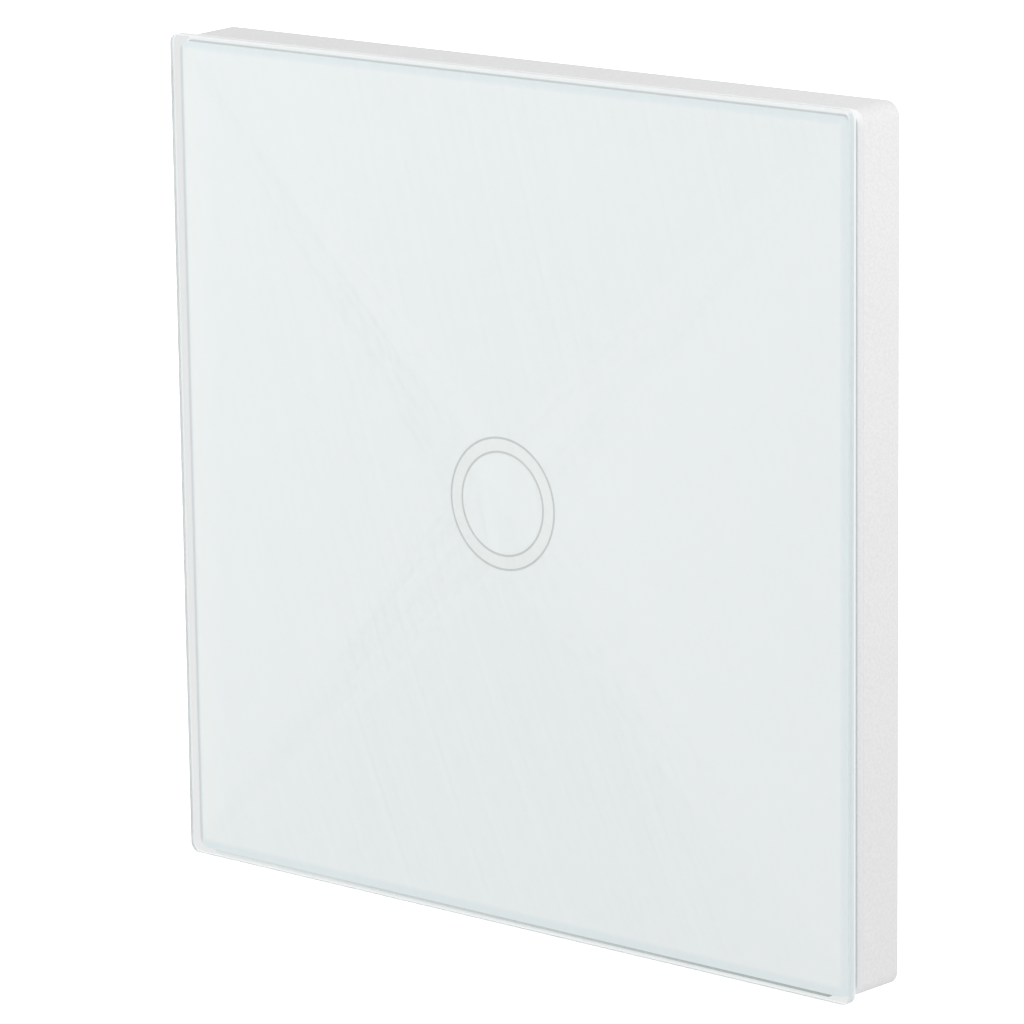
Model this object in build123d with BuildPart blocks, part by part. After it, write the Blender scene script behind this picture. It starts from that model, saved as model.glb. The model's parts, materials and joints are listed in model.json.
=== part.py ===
from build123d import *
import os

# Touch light switch: a glass front on a shallow plastic frame, a steel mounting plate on the wall,
# and a housing behind it with the touch board, the relay, the power supply and the terminals.
# X points right and Z up as seen from the room, and Y points into the wall.
# The origin is the centre of the mounting plate, in the plane of the wall.

# Glass front
glass_size = 86.0
glass_thickness = 1.1
glass_corner = 1.0
glass_arris = 0.12
front_to_wall = 7.9

# White ink on the back of the glass, printed a little off centre
ink_thickness = 0.1
ink_margin = 0.65
ink_corner = 1.2
ink_shift_x = 0.3
ink_shift_z = -0.07

# Touch mark: two thin grey circles with a translucent band between them
ring_outer_radius = 6.6
ring_inner_radius = 5.2
ring_line_width = 0.22

# Foam tape strips between glass and frame
tape_thickness = 0.8
tape_width = 6.0
tape_end_inset = 3.0
tape_bottom_inset = 0.28
tape_left_inset = 0.85
tape_hidden_inset = 1.0
tape_joint_gap = 0.4

# Plastic frame
glass_overhang = 0.15
frame_size = glass_size - 2 * glass_overhang
frame_draft_degrees = 1.5
frame_corner = 1.5
frame_chamfer = 0.6
frame_wall = 1.6
frame_plate_thickness = 1.2
frame_rib_thickness = 1.0
frame_rib_height = 1.2
frame_rib_clearance = 1.6

# Light guide in the frame
diffuser_radius = 9.0
diffuser_hole_radius = 3.7
diffuser_ridge_width = 1.1
seat_clearance = 0.05

# Clip posts of the frame, which enter the mounting plate
post_z = 13.0
post_thickness = 1.6
post_height = 6.0
post_clearance = 0.15
wall_clearance = 0.2

# Steel mounting plate, which stands clear of the frame's walls
plate_rim_gap = 4.25
plate_size = frame_size - 2 * frame_wall - 2 * plate_rim_gap
plate_thickness = 1.0
plate_corner = 4.0
plate_window_rim = 6.2
plate_window_corner = 2.0
box_screw_inset = 6.85
box_screw_spacing = plate_size - 2 * box_screw_inset
box_slot_width = 4.0
box_slot_length = 7.0

# Module cover in front of the plate
cover_thickness = 1.6
cover_corner = 2.0

# Housing behind the wall plane
housing_size = 50.0
housing_depth = 24.0
housing_wall = 1.6
housing_corner = 2.0
cover_size = housing_size
plate_window = housing_size - 2 * plate_window_rim
post_x = (housing_size + plate_size) / 4
housing_rear_chamfer = 0.8
boss_size = 5.0
board_rail_width = 2.0
board_rail_reach = 1.6
board_rail_z = 8.0
grip_groove_count = 5
grip_groove_pitch = 3.0
grip_groove_width = 1.0
grip_groove_depth = 0.4
grip_groove_length = 26.0
label_recess_width = 24.0
label_recess_height = 14.0
label_recess_depth = 0.3
label_recess_z = 6.0

# Screws through cover and plate into the housing bosses
cover_screw_inset = 3.4
cover_screw_radius = 1.2
cover_screw_clearance = 0.15
thread_clearance = 0.05
cover_screw_length = 11.0
cover_screw_head_radius = 2.1
cover_screw_head_height = 1.2
cover_screw_recess_width = 0.6
cover_screw_recess_depth = 0.7

# Touch board between the cover screws, and what it carries
touch_board_gap = 1.0
cover_screw_place = housing_size / 2 - cover_screw_inset
touch_board_size = 2 * (cover_screw_place - cover_screw_head_radius - touch_board_gap)
touch_board_thickness = 1.0
touch_board_corner = 1.0
pad_radius = 4.6
pad_thickness = 0.1
foam_radius = 3.4
foam_gap = 0.1
led_length = 1.6
led_width = 0.8
led_height = 0.6
led_count = 4
chip_width = 5.0
chip_height = 6.2
chip_thickness = 0.9
chip_edge = 0.2
chip_side_gap = 3.5
chip_x = touch_board_size / 2 - chip_side_gap - chip_width / 2
chip_z = -8.0
small_part_length = 1.6
small_part_width = 0.8
small_part_height = 0.5
small_part_pitch = 2.4
small_part_count = 5
small_part_side_gap = 4.2
small_part_x = small_part_side_gap + small_part_length / 2 - touch_board_size / 2
small_part_row_half = ((small_part_count - 1) * small_part_pitch + small_part_width) / 2
resistor_row_gap = 4.3
capacitor_row_gap = 2.3
resistor_row_z = resistor_row_gap + small_part_row_half - touch_board_size / 2
capacitor_row_z = touch_board_size / 2 - capacitor_row_gap - small_part_row_half

# Board-to-board connector
pin_pitch = 2.54
pin_count = 5
pin_width = 0.64
pin_hole_clearance = 0.05
connector_edge_gap = 5.5
connector_z = connector_edge_gap - touch_board_size / 2
header_thickness = 2.5
header_depth = 2.0
header_slot_clearance = 0.4
pin_solder_length = 0.6
pin_end_gap = 0.2
connector_gap = 0.1

# Power board, which fits inside the housing's walls
power_board_gap = 0.2
room_size = housing_size - 2 * housing_wall
room_half = room_size / 2
power_board_size = room_size - 2 * power_board_gap
power_board_thickness = 1.6
power_board_setback = 2.0
power_board_corner_clearance = 0.4

# Relay, and its place as shares of half the room in the housing
relay_x_share = -0.427
relay_z_share = 0.491
relay_x = relay_x_share * room_half
relay_z = relay_z_share * room_half
relay_length = 18.4
relay_width = 10.2
relay_rear_gap = 3.5
relay_height = housing_depth - housing_wall - power_board_setback - power_board_thickness - relay_rear_gap
relay_wall = 0.7
relay_base_thickness = 2.0
relay_base_clearance = 0.1
relay_coil_shift = 2.0
relay_coil_x = relay_x - relay_coil_shift
relay_core_radius = 1.2
relay_pole_gap = 0.6
relay_pole_height = 0.5
yoke_thickness = 1.0
yoke_width = 7.2
yoke_shift = 4.0
yoke_x = relay_x + yoke_shift
bobbin_flange_radius = 3.8
bobbin_flange_thickness = 0.6
bobbin_barrel_radius = 1.8
winding_radius = 3.5
winding_gap = 0.05
armature_thickness = 1.0
armature_pivot_gap = 0.1
armature_overhang = 3.4
contact_arm_thickness = 0.3
contact_arm_width = 3.0
contact_arm_length = 4.6
contact_button_radius = 1.0
contact_button_height = 0.5
contact_travel = 0.95
contact_post_thickness = 0.6
contact_post_width = 2.4
relay_head_room = 1.8
relay_room = relay_height - relay_wall - relay_head_room - relay_base_thickness
relay_stack = yoke_thickness + relay_pole_height + relay_pole_gap + armature_thickness + contact_arm_thickness
bobbin_height = relay_room - relay_stack

# Power supply parts on the power board, with their places as shares of half the room
film_capacitor_width = 13.0
film_capacitor_height = 5.0
film_capacitor_depth = 11.0
film_capacitor_corner = 0.8
film_capacitor_x_share = 0.427
film_capacitor_z_share = 0.705
film_capacitor_x = film_capacitor_x_share * room_half
film_capacitor_z = film_capacitor_z_share * room_half
smoothing_capacitor_radius = 4.0
smoothing_capacitor_length = 12.0
smoothing_capacitor_groove = 0.3
smoothing_capacitor_x_share = 0.321
smoothing_capacitor_z_share = 0.342
smoothing_capacitor_x = smoothing_capacitor_x_share * room_half
smoothing_capacitor_z = smoothing_capacitor_z_share * room_half
choke_radius = 3.5
choke_length = 8.0
choke_flange = 1.0
choke_core_radius = 1.6
choke_x_share = 0.726
choke_z_share = 0.299
choke_x = choke_x_share * room_half
choke_z = choke_z_share * room_half
fuse_radius = 4.2
fuse_length = 7.6
fuse_edge = 0.5
fuse_x_share = -0.662
fuse_z_share = -0.085
fuse_x = fuse_x_share * room_half
fuse_z = fuse_z_share * room_half
rectifier_width = 8.5
rectifier_height = 6.4
rectifier_depth = 3.3
rectifier_notch_radius = 0.9
rectifier_x_share = -0.128
rectifier_z_share = -0.085
rectifier_x = rectifier_x_share * room_half
rectifier_z = rectifier_z_share * room_half
varistor_radius = 3.5
varistor_thickness = 4.0
varistor_x_share = 0.278
varistor_z_share = -0.128
varistor_x = varistor_x_share * room_half
varistor_z = varistor_z_share * room_half
regulator_radius = 2.4
regulator_flat = 1.2
regulator_depth = 4.6
regulator_leg_width = 0.5
regulator_leg_pitch = 1.27
regulator_leg_length = 2.0
regulator_leg_count = 3
regulator_x_share = 0.641
regulator_z_share = -0.128
regulator_x = regulator_x_share * room_half
regulator_z = regulator_z_share * room_half

# Terminal block
pole_count = 3
pole_pitch = 9.0
block_depth = 14.0
block_floor = 3.0
block_roof = 2.0
block_clearance = 0.1
chamber_width = 6.8
chamber_height = 6.0
chamber_front_wall = 1.0
chamber_rear_wall = 0.8
wire_entry_radius = 1.7
screw_well_radius = 2.8

# Rising cages and their screws
cage_width = 6.4
cage_height = 5.4
cage_floor = 1.0
cage_roof = 1.2
cage_side = 1.1
cage_front_gap = 0.4
cage_window = 4.6
bar_thickness = 0.8
bar_width = 3.0
wire_gap = 3.4
cage_travel = 3.0
bar_slot_clearance = 0.1
terminal_screw_radius = 1.5
terminal_screw_clearance = 0.05
terminal_screw_hole_clearance = 0.15
terminal_screw_head_radius = 2.5
terminal_screw_head_depth = 1.45
terminal_screw_slot_width = 0.8
terminal_screw_slot_depth = 0.8
terminal_screw_edge = 0.2
terminal_screw_tip_gap = 0.05

# How far a cut runs past the face that it opens
overrun = 1.0

# Depths of the layers, from the front backwards. The wall is at zero.
glass_front = -front_to_wall
glass_rear = glass_front + glass_thickness
ink_rear = glass_rear + ink_thickness
frame_front = ink_rear + tape_thickness
frame_plate_rear = frame_front + frame_plate_thickness
cover_rear = -plate_thickness
cover_front = cover_rear - cover_thickness
touch_board_front = cover_front - touch_board_thickness
power_board_front = power_board_setback
power_board_rear = power_board_front + power_board_thickness
housing_inner_rear = housing_depth - housing_wall

os.makedirs("parts", exist_ok=True)


def facing_front(depth):
    """A plane parallel to the wall at that depth. What is extruded from it grows to the front."""
    return Plane.XZ.offset(-depth)


def ring(outer, inner, rear, front):
    """A flat ring round the Y axis between two depths."""
    with BuildPart() as piece:
        with BuildSketch(facing_front(rear)):
            Circle(outer)
            Circle(inner, mode=Mode.SUBTRACT)
        extrude(amount=rear - front)
    return piece


# Glass front, with a fine polished arris round its front and back edges
with BuildPart() as glass:
    with BuildSketch(facing_front(glass_rear)):
        RectangleRounded(glass_size, glass_size, glass_corner)
    extrude(amount=glass_thickness)
    chamfer(glass.faces().sort_by(Axis.Y)[0].edges(), length=glass_arris)
    chamfer(glass.faces().sort_by(Axis.Y)[-1].edges(), length=glass_arris)
glass.part.label = "glass_panel"
export_step(glass.part, "parts/glass_panel.step")

# White field of ink round the touch mark, and the white disc inside it
ink_size = glass_size - 2 * ink_margin
with BuildPart() as backing:
    with BuildSketch(facing_front(ink_rear)):
        with Locations((ink_shift_x, ink_shift_z)):
            RectangleRounded(ink_size, ink_size, ink_corner)
        Circle(ring_outer_radius + ring_line_width / 2, mode=Mode.SUBTRACT)
        Circle(ring_inner_radius - ring_line_width / 2)
    extrude(amount=ink_thickness)
backing.part.label = "backing_print"
export_step(backing.part, "parts/backing_print.step")

# The two grey circles
with BuildPart() as circles:
    with BuildSketch(facing_front(ink_rear)):
        Circle(ring_outer_radius + ring_line_width / 2)
        Circle(ring_outer_radius - ring_line_width / 2, mode=Mode.SUBTRACT)
        Circle(ring_inner_radius + ring_line_width / 2)
        Circle(ring_inner_radius - ring_line_width / 2, mode=Mode.SUBTRACT)
    extrude(amount=ink_thickness)
circles.part.label = "ring_lines"
export_step(circles.part, "parts/ring_lines.step")

# The translucent band between them
band_outer = ring_outer_radius - ring_line_width / 2
band_inner = ring_inner_radius + ring_line_width / 2
band = ring(band_outer, band_inner, ink_rear, glass_rear)
band.part.label = "ring_window"
export_step(band.part, "parts/ring_window.step")

# Tape strips: bottom and top run the width, left and right stand between them
strip_length = glass_size - 2 * tape_end_inset
bottom_strip_top = -glass_size / 2 + tape_bottom_inset + tape_width
top_strip_bottom = glass_size / 2 - tape_hidden_inset - tape_width
side_strip_height = top_strip_bottom - bottom_strip_top - 2 * tape_joint_gap
side_strip_z = (top_strip_bottom + bottom_strip_top) / 2
with BuildPart() as tape:
    with BuildSketch(facing_front(frame_front)):
        with Locations((0, bottom_strip_top - tape_width / 2), (0, top_strip_bottom + tape_width / 2)):
            Rectangle(strip_length, tape_width)
        with Locations(
            (-glass_size / 2 + tape_left_inset + tape_width / 2, side_strip_z),
            (glass_size / 2 - tape_hidden_inset - tape_width / 2, side_strip_z),
        ):
            Rectangle(tape_width, side_strip_height)
    extrude(amount=tape_thickness)
tape.part.label = "bonding_tape"
export_step(tape.part, "parts/bonding_tape.step")

# Frame: a shallow drafted tray, open to the wall
frame_depth = -frame_front
cavity_size = frame_size - 2 * frame_wall
post_depth = -frame_plate_rear - wall_clearance
rib_inner_size = cover_size + 2 * frame_rib_clearance
rib_outer_size = rib_inner_size + 2 * frame_rib_thickness
with BuildPart() as frame:
    with BuildSketch(facing_front(0)):
        RectangleRounded(frame_size, frame_size, frame_corner)
    extrude(amount=frame_depth, taper=frame_draft_degrees)
    chamfer(frame.faces().sort_by(Axis.Y)[0].edges(), length=frame_chamfer)
    with BuildSketch(facing_front(0)):
        RectangleRounded(cavity_size, cavity_size, frame_corner)
    extrude(amount=frame_depth - frame_plate_thickness, mode=Mode.SUBTRACT)
    with BuildSketch(facing_front(frame_plate_rear + frame_rib_height)):
        RectangleRounded(rib_outer_size, rib_outer_size, cover_corner + frame_rib_thickness)
        RectangleRounded(rib_inner_size, rib_inner_size, cover_corner, mode=Mode.SUBTRACT)
    extrude(amount=frame_rib_height)
    with BuildSketch(facing_front(-wall_clearance)):
        with GridLocations(2 * post_x, 2 * post_z, 2, 2):
            Rectangle(post_thickness, post_height)
    extrude(amount=post_depth)
    with BuildSketch(facing_front(frame_plate_rear + overrun)):
        Circle(diffuser_radius + seat_clearance)
    extrude(amount=frame_plate_thickness + 2 * overrun, mode=Mode.SUBTRACT)
frame.part.label = "panel_frame"
export_step(frame.part, "parts/panel_frame.step")

# Light guide: a disc in the frame with a ridge that reaches the translucent band
ridge_outer = (ring_outer_radius + ring_inner_radius + diffuser_ridge_width) / 2
ridge_inner = ridge_outer - diffuser_ridge_width
with BuildPart() as diffuser:
    with BuildSketch(facing_front(frame_plate_rear)):
        Circle(diffuser_radius)
    extrude(amount=frame_plate_thickness)
    with BuildSketch(facing_front(frame_front)):
        Circle(ridge_outer)
        Circle(ridge_inner, mode=Mode.SUBTRACT)
    extrude(amount=frame_front - ink_rear)
    with BuildSketch(facing_front(frame_plate_rear + overrun)):
        Circle(diffuser_hole_radius)
    extrude(amount=frame_plate_thickness + 2 * overrun, mode=Mode.SUBTRACT)
diffuser.part.label = "diffuser_ring"
export_step(diffuser.part, "parts/diffuser_ring.step")

# Steel plate with slots for the wall box screws and windows for the clip posts
with BuildPart() as plate:
    with BuildSketch(facing_front(0)):
        RectangleRounded(plate_size, plate_size, plate_corner)
        RectangleRounded(plate_window, plate_window, plate_window_corner, mode=Mode.SUBTRACT)
        with GridLocations(box_screw_spacing, 0, 2, 1):
            SlotOverall(box_slot_length, box_slot_width, mode=Mode.SUBTRACT)
        with GridLocations(0, box_screw_spacing, 1, 2):
            SlotOverall(box_slot_length, box_slot_width, rotation=90, mode=Mode.SUBTRACT)
        with GridLocations(2 * post_x, 2 * post_z, 2, 2):
            Rectangle(
                post_thickness + 2 * post_clearance,
                post_height + 2 * post_clearance,
                mode=Mode.SUBTRACT,
            )
        with GridLocations(2 * cover_screw_place, 2 * cover_screw_place, 2, 2):
            Circle(cover_screw_radius + cover_screw_clearance, mode=Mode.SUBTRACT)
    extrude(amount=plate_thickness)
plate.part.label = "mounting_plate"
export_step(plate.part, "parts/mounting_plate.step")

# Plastic cover that carries the touch board
header_length = pin_count * pin_pitch
with BuildPart() as cover:
    with BuildSketch(facing_front(cover_rear)):
        RectangleRounded(cover_size, cover_size, cover_corner)
        with GridLocations(2 * cover_screw_place, 2 * cover_screw_place, 2, 2):
            Circle(cover_screw_radius + cover_screw_clearance, mode=Mode.SUBTRACT)
        with Locations((0, connector_z)):
            Rectangle(
                header_length + 2 * header_slot_clearance,
                header_thickness + 2 * header_slot_clearance,
                mode=Mode.SUBTRACT,
            )
    extrude(amount=cover_thickness)
cover.part.label = "module_cover"
export_step(cover.part, "parts/module_cover.step")

# Four screws with crossed recesses
screw_tip = cover_front + cover_screw_length
with BuildPart() as cover_screws:
    with BuildSketch(facing_front(cover_front)):
        with GridLocations(2 * cover_screw_place, 2 * cover_screw_place, 2, 2):
            Circle(cover_screw_head_radius)
    extrude(amount=cover_screw_head_height)
    with BuildSketch(facing_front(screw_tip)):
        with GridLocations(2 * cover_screw_place, 2 * cover_screw_place, 2, 2):
            Circle(cover_screw_radius)
    extrude(amount=cover_screw_length)
    with BuildSketch(facing_front(cover_front - cover_screw_head_height + cover_screw_recess_depth)):
        with GridLocations(2 * cover_screw_place, 2 * cover_screw_place, 2, 2):
            Rectangle(2 * cover_screw_radius, cover_screw_recess_width)
            Rectangle(cover_screw_recess_width, 2 * cover_screw_radius)
    extrude(amount=cover_screw_recess_depth + overrun, mode=Mode.SUBTRACT)
cover_screws.part.label = "cover_screws"
export_step(cover_screws.part, "parts/cover_screws.step")

# Housing: a box open to the front, with screw bosses, board rails and a notch for the terminals
block_width = pole_count * pole_pitch
block_height = block_floor + chamber_height + block_roof
block_front = housing_depth - block_depth
block_bottom = -housing_size / 2
block_top = block_bottom + block_height
rail_x = housing_size / 2 - housing_wall - board_rail_reach / 2
groove_start = (housing_depth - (grip_groove_count - 1) * grip_groove_pitch) / 2
groove_places = [
    (side * housing_size / 2, groove_start + index * grip_groove_pitch, 0)
    for side in (-1, 1)
    for index in range(grip_groove_count)
]
with BuildPart() as housing:
    with BuildSketch(facing_front(housing_depth)):
        RectangleRounded(housing_size, housing_size, housing_corner)
    extrude(amount=housing_depth)
    chamfer(housing.faces().sort_by(Axis.Y)[-1].edges(), length=housing_rear_chamfer)
    with BuildSketch(facing_front(housing_inner_rear)):
        Rectangle(housing_size - 2 * housing_wall, housing_size - 2 * housing_wall)
        with GridLocations(2 * cover_screw_place, 2 * cover_screw_place, 2, 2):
            Rectangle(boss_size, boss_size, mode=Mode.SUBTRACT)
    extrude(amount=housing_inner_rear + overrun, mode=Mode.SUBTRACT)
    with BuildSketch(facing_front(housing_inner_rear)):
        with GridLocations(2 * rail_x, 2 * board_rail_z, 2, 2):
            Rectangle(board_rail_reach, board_rail_width)
    extrude(amount=housing_inner_rear - power_board_rear)
    with BuildSketch(facing_front(screw_tip + overrun)):
        with GridLocations(2 * cover_screw_place, 2 * cover_screw_place, 2, 2):
            Circle(cover_screw_radius + thread_clearance)
    extrude(amount=screw_tip + 2 * overrun, mode=Mode.SUBTRACT)
    with BuildSketch(facing_front(housing_depth + overrun)):
        with Locations((0, block_top + block_clearance)):
            Rectangle(
                block_width + 2 * block_clearance,
                block_height + block_clearance + overrun,
                align=(Align.CENTER, Align.MAX),
            )
    extrude(amount=block_depth + block_clearance + overrun, mode=Mode.SUBTRACT)
    with BuildSketch(facing_front(housing_depth + overrun)):
        with Locations((0, label_recess_z)):
            Rectangle(label_recess_width, label_recess_height)
    extrude(amount=label_recess_depth + overrun, mode=Mode.SUBTRACT)
    with Locations(groove_places):
        Box(2 * grip_groove_depth, grip_groove_width, grip_groove_length, mode=Mode.SUBTRACT)
housing.part.label = "base_housing"
export_step(housing.part, "parts/base_housing.step")

# Touch board, with holes for the connector pins
with BuildPart() as touch_board:
    with BuildSketch(facing_front(cover_front)):
        RectangleRounded(touch_board_size, touch_board_size, touch_board_corner)
        with Locations((0, connector_z)):
            with GridLocations(pin_pitch, 0, pin_count, 1):
                Rectangle(pin_width, pin_width, mode=Mode.SUBTRACT)
    extrude(amount=touch_board_thickness)
touch_board.part.label = "touch_board"
export_step(touch_board.part, "parts/touch_board.step")

# Copper pad on the touch board
pad_front = touch_board_front - pad_thickness
with BuildPart() as pad:
    with BuildSketch(facing_front(touch_board_front)):
        Circle(pad_radius)
    extrude(amount=pad_thickness)
pad.part.label = "sensor_pad"
export_step(pad.part, "parts/sensor_pad.step")

# Conductive foam plug from the pad to the back of the glass
with BuildPart() as foam:
    with BuildSketch(facing_front(pad_front)):
        Circle(foam_radius)
    extrude(amount=pad_front - ink_rear - foam_gap)
foam.part.label = "sensor_foam"
export_step(foam.part, "parts/sensor_foam.step")

# LEDs under the light guide
led_circle = (ring_outer_radius + ring_inner_radius) / 2
with BuildPart() as leds:
    with BuildSketch(facing_front(touch_board_front)):
        with PolarLocations(led_circle, led_count):
            Rectangle(led_width, led_length)
    extrude(amount=led_height)
leds.part.label = "indicator_leds"
export_step(leds.part, "parts/indicator_leds.step")

# Touch controller
with BuildPart() as chip:
    with BuildSketch(facing_front(touch_board_front)):
        with Locations((chip_x, chip_z)):
            Rectangle(chip_width, chip_height)
    extrude(amount=chip_thickness)
    chamfer(chip.faces().sort_by(Axis.Y)[0].edges(), length=chip_edge)
chip.part.label = "touch_chip"
export_step(chip.part, "parts/touch_chip.step")


def small_part_row(x, z):
    """A row of small parts on the front of the touch board."""
    with BuildPart() as piece:
        with BuildSketch(facing_front(touch_board_front)):
            with Locations((x, z)):
                with GridLocations(0, small_part_pitch, 1, small_part_count):
                    Rectangle(small_part_length, small_part_width)
        extrude(amount=small_part_height)
    return piece


resistors = small_part_row(small_part_x, resistor_row_z)
resistors.part.label = "touch_resistors"
export_step(resistors.part, "parts/touch_resistors.step")

capacitors = small_part_row(small_part_x, capacitor_row_z)
capacitors.part.label = "touch_capacitors"
export_step(capacitors.part, "parts/touch_capacitors.step")

# Connector between the boards: header, pins and socket
header_rear = cover_front + header_depth
socket_front = header_rear + connector_gap
pin_front = touch_board_front - pin_solder_length
pin_rear = power_board_front - pin_end_gap
with BuildPart() as header:
    with BuildSketch(facing_front(header_rear)):
        with Locations((0, connector_z)):
            Rectangle(header_length, header_thickness)
            with GridLocations(pin_pitch, 0, pin_count, 1):
                Rectangle(pin_width, pin_width, mode=Mode.SUBTRACT)
    extrude(amount=header_depth)
header.part.label = "link_header"
export_step(header.part, "parts/link_header.step")

with BuildPart() as pins:
    with BuildSketch(facing_front(pin_rear)):
        with Locations((0, connector_z)):
            with GridLocations(pin_pitch, 0, pin_count, 1):
                Rectangle(pin_width, pin_width)
    extrude(amount=pin_rear - pin_front)
pins.part.label = "link_pins"
export_step(pins.part, "parts/link_pins.step")

pin_hole = pin_width + 2 * pin_hole_clearance
with BuildPart() as socket:
    with BuildSketch(facing_front(power_board_front)):
        with Locations((0, connector_z)):
            Rectangle(header_length, header_thickness)
            with GridLocations(pin_pitch, 0, pin_count, 1):
                Rectangle(pin_hole, pin_hole, mode=Mode.SUBTRACT)
    extrude(amount=power_board_front - socket_front)
socket.part.label = "link_socket"
export_step(socket.part, "parts/link_socket.step")

# Power board, notched round the bosses
notch = boss_size + 2 * power_board_corner_clearance
with BuildPart() as power_board:
    with BuildSketch(facing_front(power_board_rear)):
        Rectangle(power_board_size, power_board_size)
        with GridLocations(2 * cover_screw_place, 2 * cover_screw_place, 2, 2):
            Rectangle(notch, notch, mode=Mode.SUBTRACT)
    extrude(amount=power_board_thickness)
power_board.part.label = "power_board"
export_step(power_board.part, "parts/power_board.step")

# Relay, standing on the power board
relay_base_rear = power_board_rear + relay_base_thickness
relay_rear = power_board_rear + relay_height
relay_inner_length = relay_length - 2 * relay_wall
relay_inner_width = relay_width - 2 * relay_wall
with BuildPart() as relay_base:
    with BuildSketch(facing_front(relay_base_rear)):
        with Locations((relay_x, relay_z)):
            Rectangle(
                relay_inner_length - 2 * relay_base_clearance,
                relay_inner_width - 2 * relay_base_clearance,
            )
    extrude(amount=relay_base_thickness)
relay_base.part.label = "relay_base"
export_step(relay_base.part, "parts/relay_base.step")

with BuildPart() as relay_case:
    with BuildSketch(facing_front(relay_rear)):
        with Locations((relay_x, relay_z)):
            Rectangle(relay_length, relay_width)
    extrude(amount=relay_height)
    chamfer(relay_case.faces().sort_by(Axis.Y)[-1].edges(), length=relay_wall / 2)
    with BuildSketch(facing_front(relay_rear - relay_wall)):
        with Locations((relay_x, relay_z)):
            Rectangle(relay_inner_length, relay_inner_width)
    extrude(amount=relay_height + overrun, mode=Mode.SUBTRACT)
relay_case.part.label = "relay_case"
export_step(relay_case.part, "parts/relay_case.step")

# Yoke: a foot under the bobbin and an upright whose round end carries the armature
foot_rear = relay_base_rear + yoke_thickness
bobbin_rear = foot_rear + bobbin_height
pole_rear = bobbin_rear + relay_pole_height
yoke_rear = pole_rear + relay_pole_gap - armature_pivot_gap
pivot_depth = yoke_rear - yoke_thickness / 2
foot_left = relay_coil_x - 2 * relay_core_radius
foot_length = yoke_x + yoke_thickness - foot_left
with BuildPart() as yoke:
    with BuildSketch(facing_front(foot_rear)):
        with Locations((foot_left, relay_z)):
            Rectangle(foot_length, yoke_width, align=(Align.MIN, Align.CENTER))
        with Locations((relay_coil_x, relay_z)):
            Circle(relay_core_radius + winding_gap, mode=Mode.SUBTRACT)
    extrude(amount=yoke_thickness)
    with BuildSketch(facing_front(pivot_depth)):
        with Locations((yoke_x, relay_z)):
            Rectangle(yoke_thickness, yoke_width, align=(Align.MIN, Align.CENTER))
    extrude(amount=pivot_depth - relay_base_rear)
    with BuildSketch(Plane.XY.offset(relay_z - yoke_width / 2)):
        with Locations((yoke_x + yoke_thickness / 2, pivot_depth)):
            Circle(yoke_thickness / 2)
    extrude(amount=yoke_width)
yoke.part.label = "relay_yoke"
export_step(yoke.part, "parts/relay_yoke.step")

with BuildPart() as core:
    with BuildSketch(facing_front(pole_rear)):
        with Locations((relay_coil_x, relay_z)):
            Circle(relay_core_radius)
    extrude(amount=pole_rear - relay_base_rear)
core.part.label = "relay_core"
export_step(core.part, "parts/relay_core.step")

with BuildPart() as bobbin:
    with BuildSketch(facing_front(bobbin_rear)):
        with Locations((relay_coil_x, relay_z)):
            Circle(bobbin_barrel_radius)
    extrude(amount=bobbin_height)
    for flange_rear in (foot_rear + bobbin_flange_thickness, bobbin_rear):
        with BuildSketch(facing_front(flange_rear)):
            with Locations((relay_coil_x, relay_z)):
                Circle(bobbin_flange_radius)
        extrude(amount=bobbin_flange_thickness)
    with BuildSketch(facing_front(bobbin_rear + overrun)):
        with Locations((relay_coil_x, relay_z)):
            Circle(relay_core_radius + winding_gap)
    extrude(amount=bobbin_height + 2 * overrun, mode=Mode.SUBTRACT)
bobbin.part.label = "relay_bobbin"
export_step(bobbin.part, "parts/relay_bobbin.step")

winding_length = bobbin_height - 2 * bobbin_flange_thickness - 2 * winding_gap
winding_rear = bobbin_rear - bobbin_flange_thickness - winding_gap
with BuildPart() as winding:
    with BuildSketch(facing_front(winding_rear)):
        with Locations((relay_coil_x, relay_z)):
            Circle(winding_radius)
            Circle(bobbin_barrel_radius + winding_gap, mode=Mode.SUBTRACT)
    extrude(amount=winding_length)
winding.part.label = "relay_winding"
export_step(winding.part, "parts/relay_winding.step")

# Armature: a plate over the pole, hinged on the yoke, with the contact arm beyond the pole
armature_front = yoke_rear + armature_pivot_gap
armature_rear = armature_front + armature_thickness
armature_left = relay_coil_x - armature_overhang / 2
armature_length = yoke_x + yoke_thickness - armature_left
with BuildPart() as armature:
    with BuildSketch(facing_front(armature_rear)):
        with Locations((armature_left, relay_z)):
            Rectangle(armature_length, yoke_width, align=(Align.MIN, Align.CENTER))
    extrude(amount=armature_thickness)
armature.part.label = "relay_armature"
export_step(armature.part, "parts/relay_armature.step")

arm_rear = armature_rear + contact_arm_thickness
arm_left = armature_left - contact_arm_length
button_x = arm_left + contact_button_radius
button_front = armature_rear - contact_button_height
with BuildPart() as moving_contact:
    with BuildSketch(facing_front(arm_rear)):
        with Locations((arm_left, relay_z)):
            Rectangle(
                contact_arm_length + armature_overhang,
                contact_arm_width,
                align=(Align.MIN, Align.CENTER),
            )
    extrude(amount=contact_arm_thickness)
    with BuildSketch(facing_front(armature_rear)):
        with Locations((button_x, relay_z)):
            Circle(contact_button_radius)
    extrude(amount=contact_button_height)
moving_contact.part.label = "relay_moving_contact"
export_step(moving_contact.part, "parts/relay_moving_contact.step")

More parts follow.
